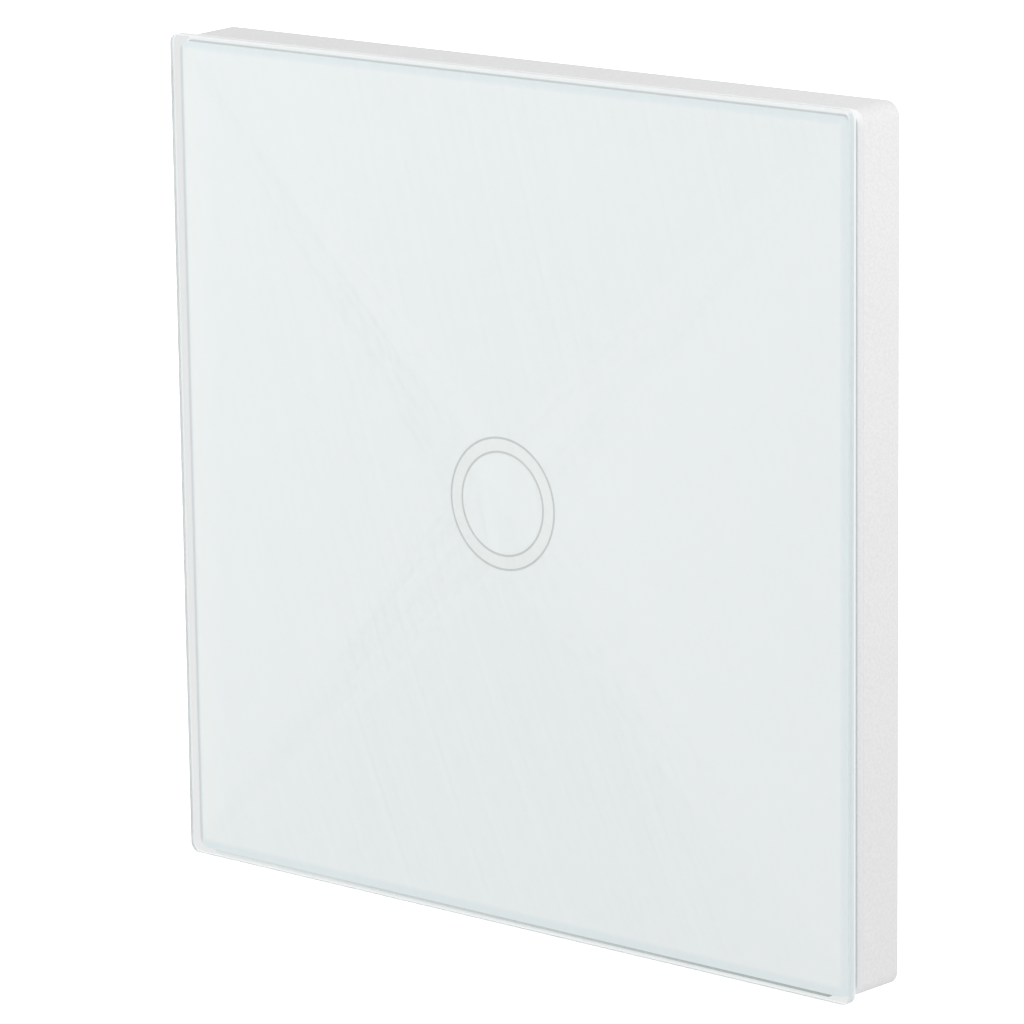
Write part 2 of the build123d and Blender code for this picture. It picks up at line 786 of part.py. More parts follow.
# Fixed contact: a post from the base to a button that the moving one closes on
fixed_button_rear = button_front - contact_travel
with BuildPart() as fixed_contact:
    with BuildSketch(facing_front(fixed_button_rear - contact_button_height)):
        with Locations((button_x, relay_z)):
            Rectangle(contact_post_thickness, contact_post_width)
    extrude(amount=fixed_button_rear - contact_button_height - relay_base_rear)
    with BuildSketch(facing_front(fixed_button_rear)):
        with Locations((button_x, relay_z)):
            Circle(contact_button_radius)
    extrude(amount=contact_button_height)
fixed_contact.part.label = "relay_fixed_contact"
export_step(fixed_contact.part, "parts/relay_fixed_contact.step")

# Power supply parts
with BuildPart() as film_capacitor:
    with BuildSketch(facing_front(power_board_rear + film_capacitor_depth)):
        with Locations((film_capacitor_x, film_capacitor_z)):
            RectangleRounded(film_capacitor_width, film_capacitor_height, film_capacitor_corner)
    extrude(amount=film_capacitor_depth)
film_capacitor.part.label = "film_capacitor"
export_step(film_capacitor.part, "parts/film_capacitor.step")

with BuildPart() as smoothing_capacitor:
    with BuildSketch(facing_front(power_board_rear + smoothing_capacitor_length)):
        with Locations((smoothing_capacitor_x, smoothing_capacitor_z)):
            Circle(smoothing_capacitor_radius)
    extrude(amount=smoothing_capacitor_length)
    with BuildSketch(facing_front(power_board_rear + smoothing_capacitor_length + overrun)):
        with Locations((smoothing_capacitor_x, smoothing_capacitor_z)):
            Circle(smoothing_capacitor_radius - 2 * smoothing_capacitor_groove)
    extrude(amount=smoothing_capacitor_groove + overrun, mode=Mode.SUBTRACT)
smoothing_capacitor.part.label = "smoothing_capacitor"
export_step(smoothing_capacitor.part, "parts/smoothing_capacitor.step")

# Choke: a drum core with a winding between its flanges
choke_rear = power_board_rear + choke_length
with BuildPart() as choke_core:
    with BuildSketch(facing_front(choke_rear)):
        with Locations((choke_x, choke_z)):
            Circle(choke_core_radius)
    extrude(amount=choke_length)
    for flange_rear in (power_board_rear + choke_flange, choke_rear):
        with BuildSketch(facing_front(flange_rear)):
            with Locations((choke_x, choke_z)):
                Circle(choke_radius)
        extrude(amount=choke_flange)
choke_core.part.label = "choke_core"
export_step(choke_core.part, "parts/choke_core.step")

with BuildPart() as choke_winding:
    with BuildSketch(facing_front(choke_rear - choke_flange - winding_gap)):
        with Locations((choke_x, choke_z)):
            Circle(choke_radius - winding_gap)
            Circle(choke_core_radius + winding_gap, mode=Mode.SUBTRACT)
    extrude(amount=choke_length - 2 * choke_flange - 2 * winding_gap)
choke_winding.part.label = "choke_winding"
export_step(choke_winding.part, "parts/choke_winding.step")

with BuildPart() as fuse:
    with BuildSketch(facing_front(power_board_rear + fuse_length)):
        with Locations((fuse_x, fuse_z)):
            Circle(fuse_radius)
    extrude(amount=fuse_length)
    fillet(fuse.faces().sort_by(Axis.Y)[-1].edges(), radius=fuse_edge)
fuse.part.label = "fuse"
export_step(fuse.part, "parts/fuse.step")

with BuildPart() as rectifier:
    with BuildSketch(facing_front(power_board_rear + rectifier_depth)):
        with Locations((rectifier_x, rectifier_z)):
            Rectangle(rectifier_width, rectifier_height)
        with Locations((rectifier_x - rectifier_width / 2, rectifier_z)):
            Circle(rectifier_notch_radius, mode=Mode.SUBTRACT)
    extrude(amount=rectifier_depth)
rectifier.part.label = "rectifier"
export_step(rectifier.part, "parts/rectifier.step")

# Varistor: a disc that stands on its edge, flattened where it meets the board
with BuildPart() as varistor:
    with BuildSketch(Plane.XY.offset(varistor_z - varistor_thickness / 2)):
        with Locations((varistor_x, power_board_rear + varistor_radius)):
            Circle(varistor_radius)
        with Locations((varistor_x, power_board_rear)):
            Rectangle(varistor_radius, varistor_radius, align=(Align.CENTER, Align.MIN))
    extrude(amount=varistor_thickness)
varistor.part.label = "varistor"
export_step(varistor.part, "parts/varistor.step")

# Regulator: a round body with a flat side on three legs
regulator_body_front = power_board_rear + regulator_leg_length
with BuildPart() as regulator:
    with BuildSketch(facing_front(regulator_body_front + regulator_depth)):
        with Locations((regulator_x, regulator_z)):
            Circle(regulator_radius)
        with Locations((regulator_x, regulator_z - regulator_flat)):
            Rectangle(
                2 * regulator_radius,
                regulator_radius,
                align=(Align.CENTER, Align.MAX),
                mode=Mode.SUBTRACT,
            )
    extrude(amount=regulator_depth)
    with BuildSketch(facing_front(regulator_body_front)):
        with Locations((regulator_x, regulator_z)):
            with GridLocations(regulator_leg_pitch, 0, regulator_leg_count, 1):
                Rectangle(regulator_leg_width, regulator_leg_width)
    extrude(amount=regulator_leg_length)
regulator.part.label = "regulator"
export_step(regulator.part, "parts/regulator.step")

# Terminals. The cage rests on the chamber's front end and rises to the rear as its screw turns.
chamber_z = block_bottom + block_floor + chamber_height / 2
chamber_front = block_front + chamber_front_wall
cage_front = chamber_front + cage_front_gap
cage_rear = cage_front + cage_floor + cage_window + cage_roof
bar_front = cage_front + cage_floor + wire_gap
bar_rear = bar_front + bar_thickness
screw_seat = cage_rear + cage_travel + cage_front_gap / 2 + chamber_rear_wall
wire_y = cage_front + cage_floor + wire_gap / 2
pole_places = [(index - (pole_count - 1) / 2) * pole_pitch for index in range(pole_count)]

with BuildPart() as block:
    with BuildSketch(facing_front(housing_depth)):
        with Locations((0, block_bottom)):
            Rectangle(block_width, block_height, align=(Align.CENTER, Align.MIN))
    extrude(amount=block_depth)
    with BuildSketch(facing_front(screw_seat - chamber_rear_wall)):
        with Locations([(place, chamber_z) for place in pole_places]):
            Rectangle(chamber_width, chamber_height)
    extrude(amount=screw_seat - chamber_rear_wall - chamber_front, mode=Mode.SUBTRACT)
    with BuildSketch(facing_front(housing_depth + overrun)):
        with Locations([(place, chamber_z) for place in pole_places]):
            Circle(screw_well_radius)
    extrude(amount=housing_depth + overrun - screw_seat, mode=Mode.SUBTRACT)
    with BuildSketch(facing_front(screw_seat + overrun)):
        with Locations([(place, chamber_z) for place in pole_places]):
            Circle(terminal_screw_radius + terminal_screw_hole_clearance)
    extrude(amount=chamber_rear_wall + 2 * overrun, mode=Mode.SUBTRACT)
    with BuildSketch(Plane.XY.offset(block_bottom - overrun)):
        with Locations([(place, wire_y) for place in pole_places]):
            Circle(wire_entry_radius)
    extrude(amount=block_floor + 2 * overrun, mode=Mode.SUBTRACT)
    with BuildSketch(Plane.XY.offset(block_top + overrun)):
        with Locations([(place, (bar_front + bar_rear) / 2) for place in pole_places]):
            Rectangle(
                bar_width + 2 * bar_slot_clearance,
                bar_thickness + 2 * bar_slot_clearance,
            )
    extrude(amount=-block_roof - 2 * overrun, mode=Mode.SUBTRACT)
block.part.label = "terminal_block"
export_step(block.part, "parts/terminal_block.step")

# Contact bars: from inside each cage out through the block's roof and down to the power board
bar_bottom = chamber_z - cage_height / 2
bar_top = block_top + 2 * bar_thickness
with BuildPart() as bars:
    with BuildSketch(Plane.XY.offset(bar_bottom)):
        with Locations([(place, (bar_front + bar_rear) / 2) for place in pole_places]):
            Rectangle(bar_width, bar_thickness)
    extrude(amount=bar_top - bar_bottom)
    with BuildSketch(facing_front(bar_rear)):
        with Locations([(place, bar_top) for place in pole_places]):
            Rectangle(bar_width, bar_thickness, align=(Align.CENTER, Align.MAX))
    extrude(amount=bar_rear - power_board_rear)
bars.part.label = "contact_bars"
export_step(bars.part, "parts/contact_bars.step")

for number, place in enumerate(pole_places, start=1):
    with BuildPart() as cage:
        with BuildSketch(facing_front(cage_rear)):
            with Locations((place, chamber_z)):
                Rectangle(cage_width, cage_height)
        extrude(amount=cage_rear - cage_front)
        with BuildSketch(facing_front(cage_rear - cage_roof)):
            with Locations((place, chamber_z)):
                Rectangle(cage_width - 2 * cage_side, cage_height + 2 * overrun)
        extrude(amount=cage_window, mode=Mode.SUBTRACT)
        with BuildSketch(facing_front(cage_rear + overrun)):
            with Locations((place, chamber_z)):
                Circle(terminal_screw_radius + terminal_screw_clearance)
        extrude(amount=cage_roof + 2 * overrun, mode=Mode.SUBTRACT)
    cage.part.label = f"terminal_cage_{number}"
    export_step(cage.part, f"parts/terminal_cage_{number}.step")

    with BuildPart() as terminal_screw:
        with BuildSketch(facing_front(screw_seat + terminal_screw_head_depth)):
            with Locations((place, chamber_z)):
                Circle(terminal_screw_head_radius)
        extrude(amount=terminal_screw_head_depth - terminal_screw_tip_gap)
        chamfer(
            terminal_screw.faces().sort_by(Axis.Y)[-1].edges(),
            length=terminal_screw_edge,
        )
        with BuildSketch(facing_front(screw_seat + terminal_screw_tip_gap)):
            with Locations((place, chamber_z)):
                Circle(terminal_screw_radius)
        extrude(amount=screw_seat - bar_rear)
        with BuildSketch(facing_front(screw_seat + terminal_screw_head_depth + overrun)):
            with Locations((place, chamber_z)):
                Rectangle(2 * terminal_screw_head_radius + overrun, terminal_screw_slot_width)
        extrude(amount=terminal_screw_slot_depth + overrun, mode=Mode.SUBTRACT)
    terminal_screw.part.label = f"terminal_screw_{number}"
    export_step(terminal_screw.part, f"parts/terminal_screw_{number}.step")
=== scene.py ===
import json
import math

import bpy
from mathutils import Matrix, Vector


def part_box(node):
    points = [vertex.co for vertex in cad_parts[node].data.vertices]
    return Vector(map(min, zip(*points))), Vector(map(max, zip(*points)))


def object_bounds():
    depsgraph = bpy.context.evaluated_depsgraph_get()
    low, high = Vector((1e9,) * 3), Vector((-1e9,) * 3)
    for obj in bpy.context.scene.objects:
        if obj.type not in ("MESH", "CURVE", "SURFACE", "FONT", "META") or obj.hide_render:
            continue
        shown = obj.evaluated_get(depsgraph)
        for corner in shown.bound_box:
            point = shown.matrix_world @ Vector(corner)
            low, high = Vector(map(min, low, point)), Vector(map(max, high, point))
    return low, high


# Touch light switch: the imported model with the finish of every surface, a camera and studio light.
# Lengths are in metres. X points right and Z up as seen from the room, and Y points into the wall.

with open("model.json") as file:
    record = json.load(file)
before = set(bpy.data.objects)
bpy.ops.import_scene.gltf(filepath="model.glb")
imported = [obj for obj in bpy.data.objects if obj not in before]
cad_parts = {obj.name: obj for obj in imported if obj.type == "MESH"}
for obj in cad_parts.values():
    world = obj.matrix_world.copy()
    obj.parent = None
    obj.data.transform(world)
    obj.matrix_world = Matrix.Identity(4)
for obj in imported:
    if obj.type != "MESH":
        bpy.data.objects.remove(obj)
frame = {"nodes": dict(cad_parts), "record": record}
cad_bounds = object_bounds()
MM = 0.001

# Camera at the photograph's viewing angle
VIEW_AZIMUTH = math.radians(40.48)
VIEW_ELEVATION = math.radians(12.97)
VIEW_ROLL = math.radians(-0.76)
VIEW_DISTANCE = 0.562
AIM = Vector((1.73 * MM, -7.9 * MM, -0.46 * MM))
LENS_MM = 202.0
SENSOR_MM = 36.0
CLIP_START = 0.01

# Widths of the frame's chamfer and of the painted light and shade on the glass edge, its print and the
# frame behind it
FRAME_CHAMFER = 0.6 * MM
FRAME_SHADE_LINE = 0.24 * MM
EDGE_PAINTED_LIGHT_WIDTH = 0.4 * MM
INK_SHADE_LINE = 0.4 * MM
INK_SHADE_RIM = 1.3 * MM
INK_LIGHT_FADE = 4.5 * MM

# How squarely a surface faces the room where a ground edge or a slope ends, as a share of the normal
GROUND_ENDS = (0.85, 0.95)
SLOPE_ENDS = (0.9, 0.95)

# Bending of light in polished glass, and in the matt skin of its ground edge
GLASS_IOR = 1.52
GROUND_IOR = 1.15

# Stage and light
FLOOR_DROP = 0.03
FLOOR_SIZE = 8.0
FLOOR_GREY = 0.9
GLOW_FROM_BELOW = 0.88
GLOW_FROM_ABOVE = 0.725
KEY_PLACE = (-0.15, -0.35, 0.15)
KEY_AIM = (0, 0, 0)
KEY_SIZE = 0.3
KEY_POWER = 0.46
SIDE_PLACE = (0.20, 0, 0.12)
SIDE_AIM = (0.04, 0, 0)
SIDE_SIZE = 0.12
SIDE_POWER = 0.105

# The colour sockets of a Mix node share their names with its number sockets, so they go by place
MIX_FIRST = 6
MIX_SECOND = 7
MIX_RESULT = 2

# Length of one wave of the wave texture at a scale of one
WAVE_LENGTH = math.pi / 10


def add_camera():
    """A long lens at the photograph's azimuth, elevation and slight roll."""
    back = Vector((
        math.sin(VIEW_AZIMUTH) * math.cos(VIEW_ELEVATION),
        -math.cos(VIEW_AZIMUTH) * math.cos(VIEW_ELEVATION),
        math.sin(VIEW_ELEVATION),
    ))
    level_right = Vector((0, 0, 1)).cross(back).normalized()
    level_up = back.cross(level_right)
    right = level_right * math.cos(VIEW_ROLL) + level_up * math.sin(VIEW_ROLL)
    up = level_up * math.cos(VIEW_ROLL) - level_right * math.sin(VIEW_ROLL)
    data = bpy.data.cameras.new("photo_view")
    data.lens = LENS_MM
    data.sensor_width = SENSOR_MM
    data.sensor_fit = "HORIZONTAL"
    data.clip_start = CLIP_START
    camera = bpy.data.objects.new("photo_view", data)
    turn = Matrix((right, up, back)).transposed().to_4x4()
    camera.matrix_world = Matrix.Translation(AIM + back * VIEW_DISTANCE) @ turn
    bpy.context.scene.collection.objects.link(camera)
    bpy.context.scene.camera = camera


def add_world():
    """White studio surroundings, a little brighter near the pale floor."""
    world = bpy.data.worlds.new("studio")
    world.use_nodes = True
    nodes = world.node_tree.nodes
    links = world.node_tree.links
    direction = nodes.new("ShaderNodeTexCoord")
    split = nodes.new("ShaderNodeSeparateXYZ")
    height = nodes.new("ShaderNodeMapRange")
    height.inputs["From Min"].default_value = -1.0
    height.inputs["From Max"].default_value = 1.0
    height.inputs["To Min"].default_value = GLOW_FROM_BELOW
    height.inputs["To Max"].default_value = GLOW_FROM_ABOVE
    background = nodes["Background"]
    background.inputs["Color"].default_value = (1.0, 1.0, 1.0, 1.0)
    links.new(direction.outputs["Generated"], split.inputs["Vector"])
    links.new(split.outputs["Z"], height.inputs["Value"])
    links.new(height.outputs["Result"], background.inputs["Strength"])
    bpy.context.scene.world = world


def add_floor():
    """A pale floor that shows white, a little below the switch."""
    low, _ = cad_bounds
    half = FLOOR_SIZE / 2
    mesh = bpy.data.meshes.new("floor")
    corners = [(-half, -half, 0), (half, -half, 0), (half, half, 0), (-half, half, 0)]
    mesh.from_pydata(corners, [], [(0, 1, 2, 3)])
    floor = bpy.data.objects.new("floor", mesh)
    floor.location.z = low[2] - FLOOR_DROP
    material = bpy.data.materials.new("floor_white")
    material.use_nodes = True
    shader = material.node_tree.nodes["Principled BSDF"]
    shader.inputs["Base Color"].default_value = (FLOOR_GREY, FLOOR_GREY, FLOOR_GREY, 1)
    shader.inputs["Emission Color"].default_value = (1, 1, 1, 1)
    shader.inputs["Emission Strength"].default_value = 1.0
    mesh.materials.append(material)
    bpy.context.scene.collection.objects.link(floor)
    floor.visible_diffuse = False
    floor.visible_glossy = False
    floor.visible_transmission = False


def add_light(name, place, aim, size, power):
    """A square soft box that the camera doesn't see, turned towards its aim."""
    data = bpy.data.lights.new(name, "AREA")
    data.shape = "SQUARE"
    data.size = size
    data.energy = power
    light = bpy.data.objects.new(name, data)
    light.location = place
    light.rotation_euler = (Vector(aim) - Vector(place)).to_track_quat("-Z", "Y").to_euler()
    light.visible_camera = False
    bpy.context.scene.collection.objects.link(light)


class Finish:
    """A material with one main shader, and shorthand for the nodes that feed or cover it."""

    def __init__(self, name, roughness=0.5, metallic=0.0):
        self.material = bpy.data.materials.new(name)
        self.material.use_nodes = True
        self.nodes = self.material.node_tree.nodes
        self.links = self.material.node_tree.links
        self.shader = self.nodes["Principled BSDF"]
        self.shader.inputs["Roughness"].default_value = roughness
        self.shader.inputs["Metallic"].default_value = metallic
        coordinates = self.nodes.new("ShaderNodeTexCoord")
        self.place = coordinates.outputs["Object"]
        self.surface = self.shader.outputs["BSDF"]

    def set(self, **values):
        """Plain values for the main shader's sockets, with _ for a space in a name."""
        for socket, value in values.items():
            self.shader.inputs[socket.replace("_", " ")].default_value = value
        return self

    def stretched(self, stretch):
        """The object's coordinates, scaled along each axis."""
        mapping = self.nodes.new("ShaderNodeMapping")
        mapping.inputs["Scale"].default_value = stretch
        self.links.new(self.place, mapping.inputs["Vector"])
        return mapping.outputs["Vector"]

    def noise(self, grain, detail=3.0, stretch=(1, 1, 1)):
        """Noise whose features are about one grain across."""
        texture = self.nodes.new("ShaderNodeTexNoise")
        texture.inputs["Scale"].default_value = 1 / grain
        texture.inputs["Detail"].default_value = detail
        self.links.new(self.stretched(stretch), texture.inputs["Vector"])
        return texture.outputs["Fac"]

    def waves(self, pitch, direction):
        """Parallel ridges with one pitch along an axis."""
        texture = self.nodes.new("ShaderNodeTexWave")
        texture.bands_direction = direction
        texture.inputs["Scale"].default_value = WAVE_LENGTH / pitch
        self.links.new(self.place, texture.inputs["Vector"])
        return texture.outputs["Fac"]

    def cells(self, size, output="Distance"):
        """Closely packed cells of one size."""
        texture = self.nodes.new("ShaderNodeTexVoronoi")
        texture.inputs["Scale"].default_value = 1 / size
        self.links.new(self.place, texture.inputs["Vector"])
        return texture.outputs[output]

    def ramp(self, source, low, high, low_value=0.0, high_value=1.0):
        """Maps the range from low to high onto two values."""
        node = self.nodes.new("ShaderNodeMapRange")
        node.inputs["From Min"].default_value = low
        node.inputs["From Max"].default_value = high
        node.inputs["To Min"].default_value = low_value
        node.inputs["To Max"].default_value = high_value
        self.links.new(source, node.inputs["Value"])
        return node.outputs["Result"]

    def axis(self, name):
        """One coordinate of the surface point."""
        split = self.nodes.new("ShaderNodeSeparateXYZ")
        self.links.new(self.place, split.inputs["Vector"])
        return split.outputs[name]

    def combined(self, operation, *sources):
        """One Math node over one or two sockets."""
        node = self.nodes.new("ShaderNodeMath")
        node.operation = operation
        for socket, source in zip(node.inputs, sources):
            self.links.new(source, socket)
        return node.outputs["Value"]

    def facing(self, name):
        """One where the surface faces along the axis, either way, and zero where it runs along it."""
        geometry = self.nodes.new("ShaderNodeNewGeometry")
        split = self.nodes.new("ShaderNodeSeparateXYZ")
        self.links.new(geometry.outputs["True Normal"], split.inputs["Vector"])
        return self.combined("ABSOLUTE", split.outputs[name])

    def reach(self):
        """How far a point lies from the middle of the front, along X or Z, whichever is more."""
        across = self.combined("ABSOLUTE", self.axis("X"))
        upward = self.combined("ABSOLUTE", self.axis("Z"))
        return self.combined("MAXIMUM", across, upward)

    def blend(self, factor, first, second):
        """A colour between two colours, or between two colour sockets."""
        node = self.nodes.new("ShaderNodeMix")
        node.data_type = "RGBA"
        self.links.new(factor, node.inputs["Factor"])
        for place, value in ((MIX_FIRST, first), (MIX_SECOND, second)):
            if isinstance(value, tuple):
                node.inputs[place].default_value = (*value, 1.0)
            else:
                self.links.new(value, node.inputs[place])
        return node.outputs[MIX_RESULT]

    def dimmed(self, colour, factor):
        """The colour of a socket, darkened evenly."""
        node = self.nodes.new("ShaderNodeVectorMath")
        node.operation = "SCALE"
        self.links.new(colour, node.inputs["Vector"])
        node.inputs["Scale"].default_value = factor
        return node.outputs["Vector"]

    def colour(self, source):
        self.links.new(source, self.shader.inputs["Base Color"])
        return self

    def roughness(self, source):
        self.links.new(source, self.shader.inputs["Roughness"])
        return self

    def bump(self, source, height):
        node = self.nodes.new("ShaderNodeBump")
        node.inputs["Distance"].default_value = height
        node.inputs["Strength"].default_value = 1.0
        self.links.new(source, node.inputs["Height"])
        self.links.new(node.outputs["Normal"], self.shader.inputs["Normal"])
        return self

    def cover(self, factor, shader):
        """Lays another shader over the surface made so far, as much as the factor says."""
        mix = self.nodes.new("ShaderNodeMixShader")
        self.links.new(factor, mix.inputs["Fac"])
        self.links.new(self.surface, mix.inputs[1])
        self.links.new(shader, mix.inputs[2])
        self.surface = mix.outputs["Shader"]
        self.links.new(self.surface, self.nodes["Material Output"].inputs["Surface"])


def scaled(colour, factor):
    """A lighter or darker colour, no lighter than white."""
    return tuple(min(1.0, channel * factor) for channel in colour)


def moulded(name, colour, roughness=0.5, grain=0.3 * MM, height=0.004 * MM, variation=0.03):
    """Moulded plastic: a fine texture from the tool, and a faint cloudiness in its colour."""
    finish = Finish(name, roughness)
    clouds = finish.noise(6 * MM, 2.0)
    finish.colour(finish.blend(clouds, scaled(colour, 1 - variation), scaled(colour, 1 + variation)))
    fine = finish.noise(grain, 2.0)
    finish.roughness(finish.ramp(fine, 0.3, 0.7, roughness - 0.06, roughness + 0.06))
    finish.bump(fine, height)
    return finish


def metal(name, colour, roughness, stretch=(1, 1, 1)):
    """Metal with a drawn or rolled grain and uneven polish."""
    finish = Finish(name, roughness, 1.0)
    streaks = finish.noise(0.15 * MM, 4.0, stretch)
    stains = finish.noise(4 * MM, 3.0)
    finish.colour(finish.blend(stains, scaled(colour, 0.9), scaled(colour, 1.06)))
    finish.roughness(finish.ramp(streaks, 0.3, 0.7, roughness - 0.08, roughness + 0.1))
    finish.bump(streaks, 0.002 * MM)
    return finish


def make_glass():
    """Clear polished glass whose ground edge is faintly blue-green, painted pale as painted light on all
    faces but the right one, with a painted highlight along its rear arris.
    """
    finish = Finish("clear_glass", 0.0)
    finish.set(Transmission_Weight=1.0, IOR=GLASS_IOR)
    haze = finish.noise(20 * MM, 1.0)
    finish.colour(finish.blend(haze, (0.968, 0.990, 0.988), (0.976, 0.994, 0.992)))
    grind_the_edge(finish)
    let_light_through(finish, (0.975, 0.985, 0.987))
    return finish


def grind_the_edge(finish):
    """The narrow faces all round are ground, not polished, so they scatter light; their colour also
    carries painted light, pale on all but the right face, and a painted highlight line along the rear
    arris.
    """
    _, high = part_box("glass_panel")
    ground = finish.nodes.new("ShaderNodeBsdfPrincipled")
    ground.inputs["Roughness"].default_value = 0.5
    ground.inputs["Transmission Weight"].default_value = 0.2
    ground.inputs["IOR"].default_value = GROUND_IOR
    streaks = finish.noise(0.3 * MM, 3.0, (1, 0.2, 1))
    cut = finish.blend(streaks, (0.77, 0.835, 0.85), (0.81, 0.87, 0.88))
    # Painted light: every ground face but the right one is painted pale; the right face keeps the darker
    # streaked grey of the cut.
    right = finish.ramp(finish.axis("X"), high[0] - EDGE_PAINTED_LIGHT_WIDTH, high[0] - 0.5 * EDGE_PAINTED_LIGHT_WIDTH)
    body = finish.blend(right, (0.95, 0.965, 0.965), cut)
    # Painted highlight: a bright line along the rear arris of the ground edge.
    painted_arris_highlight = finish.ramp(finish.axis("Y"), high[1] - EDGE_PAINTED_LIGHT_WIDTH, high[1] - 0.9 * EDGE_PAINTED_LIGHT_WIDTH)
    colour = finish.blend(painted_arris_highlight, body, (0.97, 1.0, 1.0))
    finish.links.new(colour, ground.inputs["Base Color"])
    edge = finish.ramp(finish.facing("Y"), *GROUND_ENDS, 1.0, 0.0)
    finish.cover(edge, ground.outputs["BSDF"])


def let_light_through(finish, tint):
    """Lamps and bounced light pass straight through, so that what lies behind the glass is lit."""
    path = finish.nodes.new("ShaderNodeLightPath")
    either = finish.combined("MAXIMUM", path.outputs["Is Shadow Ray"], path.outputs["Is Diffuse Ray"])
    clear = finish.nodes.new("ShaderNodeBsdfTransparent")
    clear.inputs["Color"].default_value = (*tint, 1.0)
    finish.cover(either, clear.outputs["BSDF"])


def make_white_ink():
    """White print with painted light and shade: a cooler, darker band of painted shade along its edge, a
    warmer band of painted light near its left side, and a thin grey line of painted shade along its left
    edge.
    """
    finish = Finish("white_ink", 0.45)
    fine = finish.noise(0.12 * MM, 2.0)
    body = finish.blend(fine, (0.888, 0.902, 0.906), (0.908, 0.922, 0.926))
    low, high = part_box("backing_print")
    # Painted light: a warmer, paler band fading in from the left side.
    left = finish.ramp(finish.axis("X"), low[0] + INK_SHADE_RIM, low[0] + INK_LIGHT_FADE, 1.0, 0.0)
    # Painted shade: a cooler, darker band along all four edges of the print.
    painted_rim_shade = finish.ramp(finish.reach(), high[0] - INK_SHADE_RIM, high[0] - 0.6 * INK_SHADE_RIM)
    # Painted shade: a thin grey line along the left edge of the print.
    line = finish.ramp(finish.axis("X"), low[0] + 0.5 * INK_SHADE_LINE, low[0] + INK_SHADE_LINE, 1.0, 0.0)
    colour = finish.blend(left, body, (0.92, 0.935, 0.925))
    colour = finish.blend(painted_rim_shade, colour, (0.82, 0.868, 0.884))
    finish.colour(finish.blend(line, colour, (0.70, 0.71, 0.715)))
    finish.bump(fine, 0.001 * MM)
    return finish


def make_grey_ink():
    """Grey print of the two circles."""
    finish = Finish("grey_ink", 0.5)
    fine = finish.noise(0.1 * MM, 2.0)
    finish.colour(finish.blend(fine, (0.60, 0.61, 0.60), (0.66, 0.67, 0.66)))
    return finish


def make_window_ink():
    """Thin print between the circles, a little warmer than the white round it."""
    finish = Finish("window_ink", 0.4)
    fine = finish.noise(0.15 * MM, 2.0)
    finish.colour(finish.blend(fine, (0.88, 0.895, 0.885), (0.91, 0.92, 0.905)))
    return finish


def make_foam():
    """Black conductive foam with open cells."""
    finish = Finish("conductive_foam", 0.9)
    cells = finish.cells(0.12 * MM)
    black = (0.05, 0.05, 0.055)
    finish.colour(finish.blend(cells, scaled(black, 0.75), scaled(black, 1.25)))
    finish.bump(cells, 0.02 * MM)
    return finish


def make_tape():
    """Foam tape with painted light and shade: its colour runs from light on its left to dark on its
    right, as light and shade fall in the gap.
    """
    finish = Finish("foam_tape", 0.9)
    cells = finish.cells(0.12 * MM)
    low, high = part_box("bonding_tape")
    # Painted light and shade across the tape: light on the left, dark on the right.
    across = finish.ramp(finish.axis("X"), low[0], high[0])
    body = finish.blend(across, (0.86, 0.88, 0.875), (0.42, 0.46, 0.455))
    finish.colour(finish.blend(cells, finish.dimmed(body, 0.85), body))
    finish.bump(cells, 0.02 * MM)
    return finish


def make_frame_plastic():
    """White plastic with a fine sand texture, a chamfer painted paler as painted light, and a dark line
    of painted shade along its front.
    """
    finish = Finish("frame_plastic", 0.55)
    clouds = finish.noise(9 * MM, 2.0)
    grains = finish.noise(0.28 * MM, 3.0)
    base = finish.blend(clouds, (0.845, 0.845, 0.847), (0.865, 0.865, 0.867))
    speckle = finish.ramp(grains, 0.35, 0.65)
    sanded = finish.blend(speckle, finish.dimmed(base, 0.94), base)
    low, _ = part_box("panel_frame")
    depth = finish.axis("Y")
    # Painted light: the front chamfer is painted paler.
    chamfer = finish.ramp(depth, low[1] + FRAME_CHAMFER, low[1] + 0.9 * FRAME_CHAMFER)
    sanded = finish.blend(chamfer, sanded, (0.925, 0.922, 0.935))
    # Painted shade: a dark line along the front of the chamfer, in the gap under the glass.
    shade = finish.ramp(depth, low[1] + 0.5 * FRAME_SHADE_LINE, low[1] + FRAME_SHADE_LINE, 1.0, 0.0)
    sloped = finish.ramp(finish.facing("Y"), *SLOPE_ENDS, 1.0, 0.0)
    line = finish.combined("MULTIPLY", shade, sloped)
    finish.colour(finish.blend(line, sanded, (0.60, 0.63, 0.63)))
    finish.bump(grains, 0.06 * MM)
    return finish


def make_zinc_plate():
    """Zinc-plated steel sheet: bright, faintly blue, with a rolled grain."""
    finish = Finish("zinc_plate", 0.32, 1.0)
    spangle = finish.cells(2.4 * MM, "Color")
    streaks = finish.noise(0.3 * MM, 4.0, (0.08, 1, 1))
    finish.colour(finish.blend(streaks, (0.62, 0.64, 0.67), (0.76, 0.77, 0.79)))
    grey = finish.nodes.new("ShaderNodeRGBToBW")
    finish.links.new(spangle, grey.inputs["Color"])
    finish.roughness(finish.ramp(grey.outputs["Val"], 0.0, 1.0, 0.26, 0.42))
    finish.bump(streaks, 0.002 * MM)
    return finish


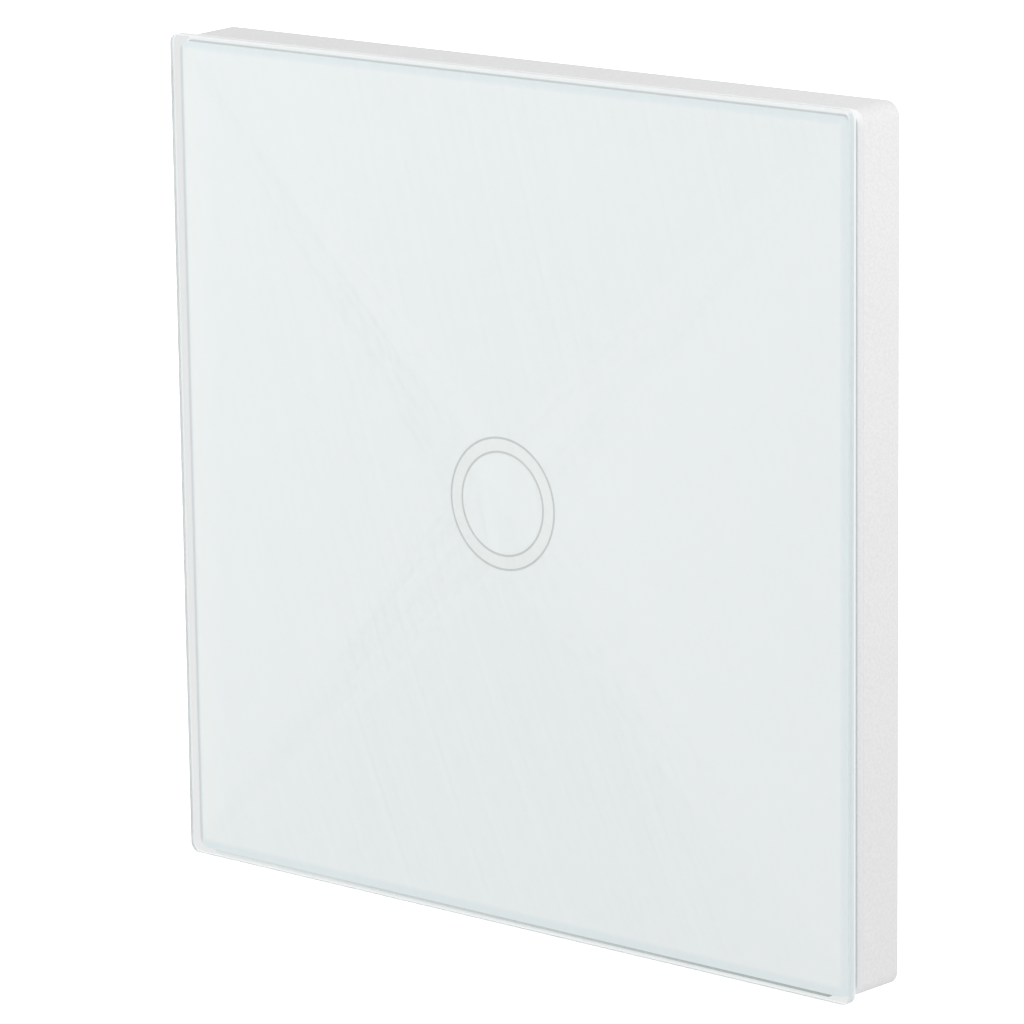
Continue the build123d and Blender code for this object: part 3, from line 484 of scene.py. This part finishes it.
def make_board():
    """Green lacquer over copper traces."""
    finish = Finish("circuit_board", 0.35)
    traces = finish.nodes.new("ShaderNodeTexBrick")
    traces.inputs["Scale"].default_value = 1 / (12 * MM)
    traces.inputs["Mortar Size"].default_value = 0.03
    traces.offset = 0.37
    swap = finish.nodes.new("ShaderNodeMapping")
    swap.inputs["Rotation"].default_value = (math.pi / 2, 0, 0)
    finish.links.new(finish.place, swap.inputs["Vector"])
    finish.links.new(swap.outputs["Vector"], traces.inputs["Vector"])
    lines = traces.outputs["Fac"]
    fine = finish.noise(0.5 * MM, 2.0)
    lacquer = finish.blend(fine, (0.012, 0.115, 0.045), (0.018, 0.14, 0.055))
    finish.colour(finish.blend(lines, lacquer, (0.05, 0.26, 0.09)))
    finish.bump(lines, 0.02 * MM)
    finish.set(Coat_Weight=0.5, Coat_Roughness=0.15)
    return finish


def make_winding():
    """Enamelled wire wound side by side round an axis that points into the wall."""
    finish = Finish("enamelled_wire", 0.25, 1.0)
    pitch = 0.12 * MM
    copper = (0.78, 0.33, 0.14)
    # The turns are ridges in the bump, and their colour darkens between the turns as painted shade.
    turn_ridges_and_painted_shade = finish.waves(pitch, "Y")
    finish.colour(finish.blend(turn_ridges_and_painted_shade, scaled(copper, 0.45), copper))
    finish.bump(turn_ridges_and_painted_shade, 0.3 * pitch)
    return finish


def make_sleeve():
    """Black shrink sleeve, a little wavy where it shrank."""
    finish = Finish("shrink_sleeve", 0.3)
    folds = finish.noise(1.2 * MM, 2.0, (1, 0.3, 1))
    finish.colour(finish.blend(folds, (0.012, 0.013, 0.018), (0.03, 0.032, 0.042)))
    finish.bump(folds, 0.05 * MM)
    return finish


finishes = {
    "glass": make_glass(),
    "white_ink": make_white_ink(),
    "grey_ink": make_grey_ink(),
    "window_ink": make_window_ink(),
    "tape": make_tape(),
    "frame_plastic": make_frame_plastic(),
    "diffuser": moulded("milky_diffuser", (0.88, 0.88, 0.86), 0.4).set(Transmission_Weight=0.2),
    "steel": make_zinc_plate(),
    "screw_steel": metal("zinc_screw", (0.66, 0.67, 0.68), 0.28),
    "housing_plastic": moulded("housing_plastic", (0.76, 0.765, 0.76), 0.55, 0.25 * MM, 0.012 * MM),
    "cover_plastic": moulded("cover_plastic", (0.80, 0.80, 0.79), 0.5, 0.25 * MM, 0.01 * MM),
    "board": make_board(),
    "copper": metal("bare_copper", (0.86, 0.46, 0.27), 0.25),
    "foam": make_foam(),
    "led": moulded("led_resin", (0.85, 0.80, 0.55), 0.2, 0.1 * MM, 0.001 * MM),
    "chip": moulded("chip_compound", (0.018, 0.018, 0.02), 0.6, 0.1 * MM, 0.004 * MM, 0.15),
    "resistor": moulded("resistor_glaze", (0.02, 0.02, 0.024), 0.3, 0.1 * MM, 0.002 * MM, 0.2),
    "capacitor_tan": moulded("ceramic_tan", (0.42, 0.28, 0.15), 0.4, 0.1 * MM, 0.003 * MM, 0.1),
    "connector_black": moulded("connector_black", (0.02, 0.02, 0.022), 0.45, 0.15 * MM, 0.006 * MM, 0.1),
    "brass": metal("brass", (0.83, 0.64, 0.30), 0.28, (1, 1, 0.1)),
    "relay_blue": moulded("relay_blue", (0.03, 0.12, 0.42), 0.35, 0.2 * MM, 0.004 * MM, 0.08),
    "iron": metal("nickel_iron", (0.48, 0.47, 0.45), 0.35),
    "coil_copper": make_winding(),
    "bobbin": moulded("bobbin_nylon", (0.75, 0.73, 0.66), 0.45),
    "film": moulded("film_yellow", (0.72, 0.55, 0.05), 0.35, 0.2 * MM, 0.004 * MM, 0.05),
    "sleeve": make_sleeve(),
    "ferrite": moulded("ferrite_grey", (0.045, 0.045, 0.05), 0.6, 0.15 * MM, 0.01 * MM, 0.2),
    "fuse_brown": moulded("fuse_brown", (0.10, 0.05, 0.03), 0.4, 0.2 * MM, 0.005 * MM, 0.1),
    "varistor_blue": moulded("varistor_blue", (0.04, 0.14, 0.42), 0.3, 0.5 * MM, 0.02 * MM, 0.08),
    "terminal_plastic": moulded("terminal_plastic", (0.06, 0.065, 0.07), 0.5, 0.2 * MM, 0.008 * MM, 0.1),
}

for subpart in frame["record"]["subparts"]:
    node = frame["nodes"][subpart["node"]]
    for slot in node.material_slots:
        slot.material = finishes[subpart["material_slot"]].material

add_camera()
add_world()
add_floor()
add_light("key", KEY_PLACE, KEY_AIM, KEY_SIZE, KEY_POWER)
add_light("side", SIDE_PLACE, SIDE_AIM, SIDE_SIZE, SIDE_POWER)
bpy.context.scene.view_settings.view_transform = "Standard"
bpy.context.scene.view_settings.look = "None"
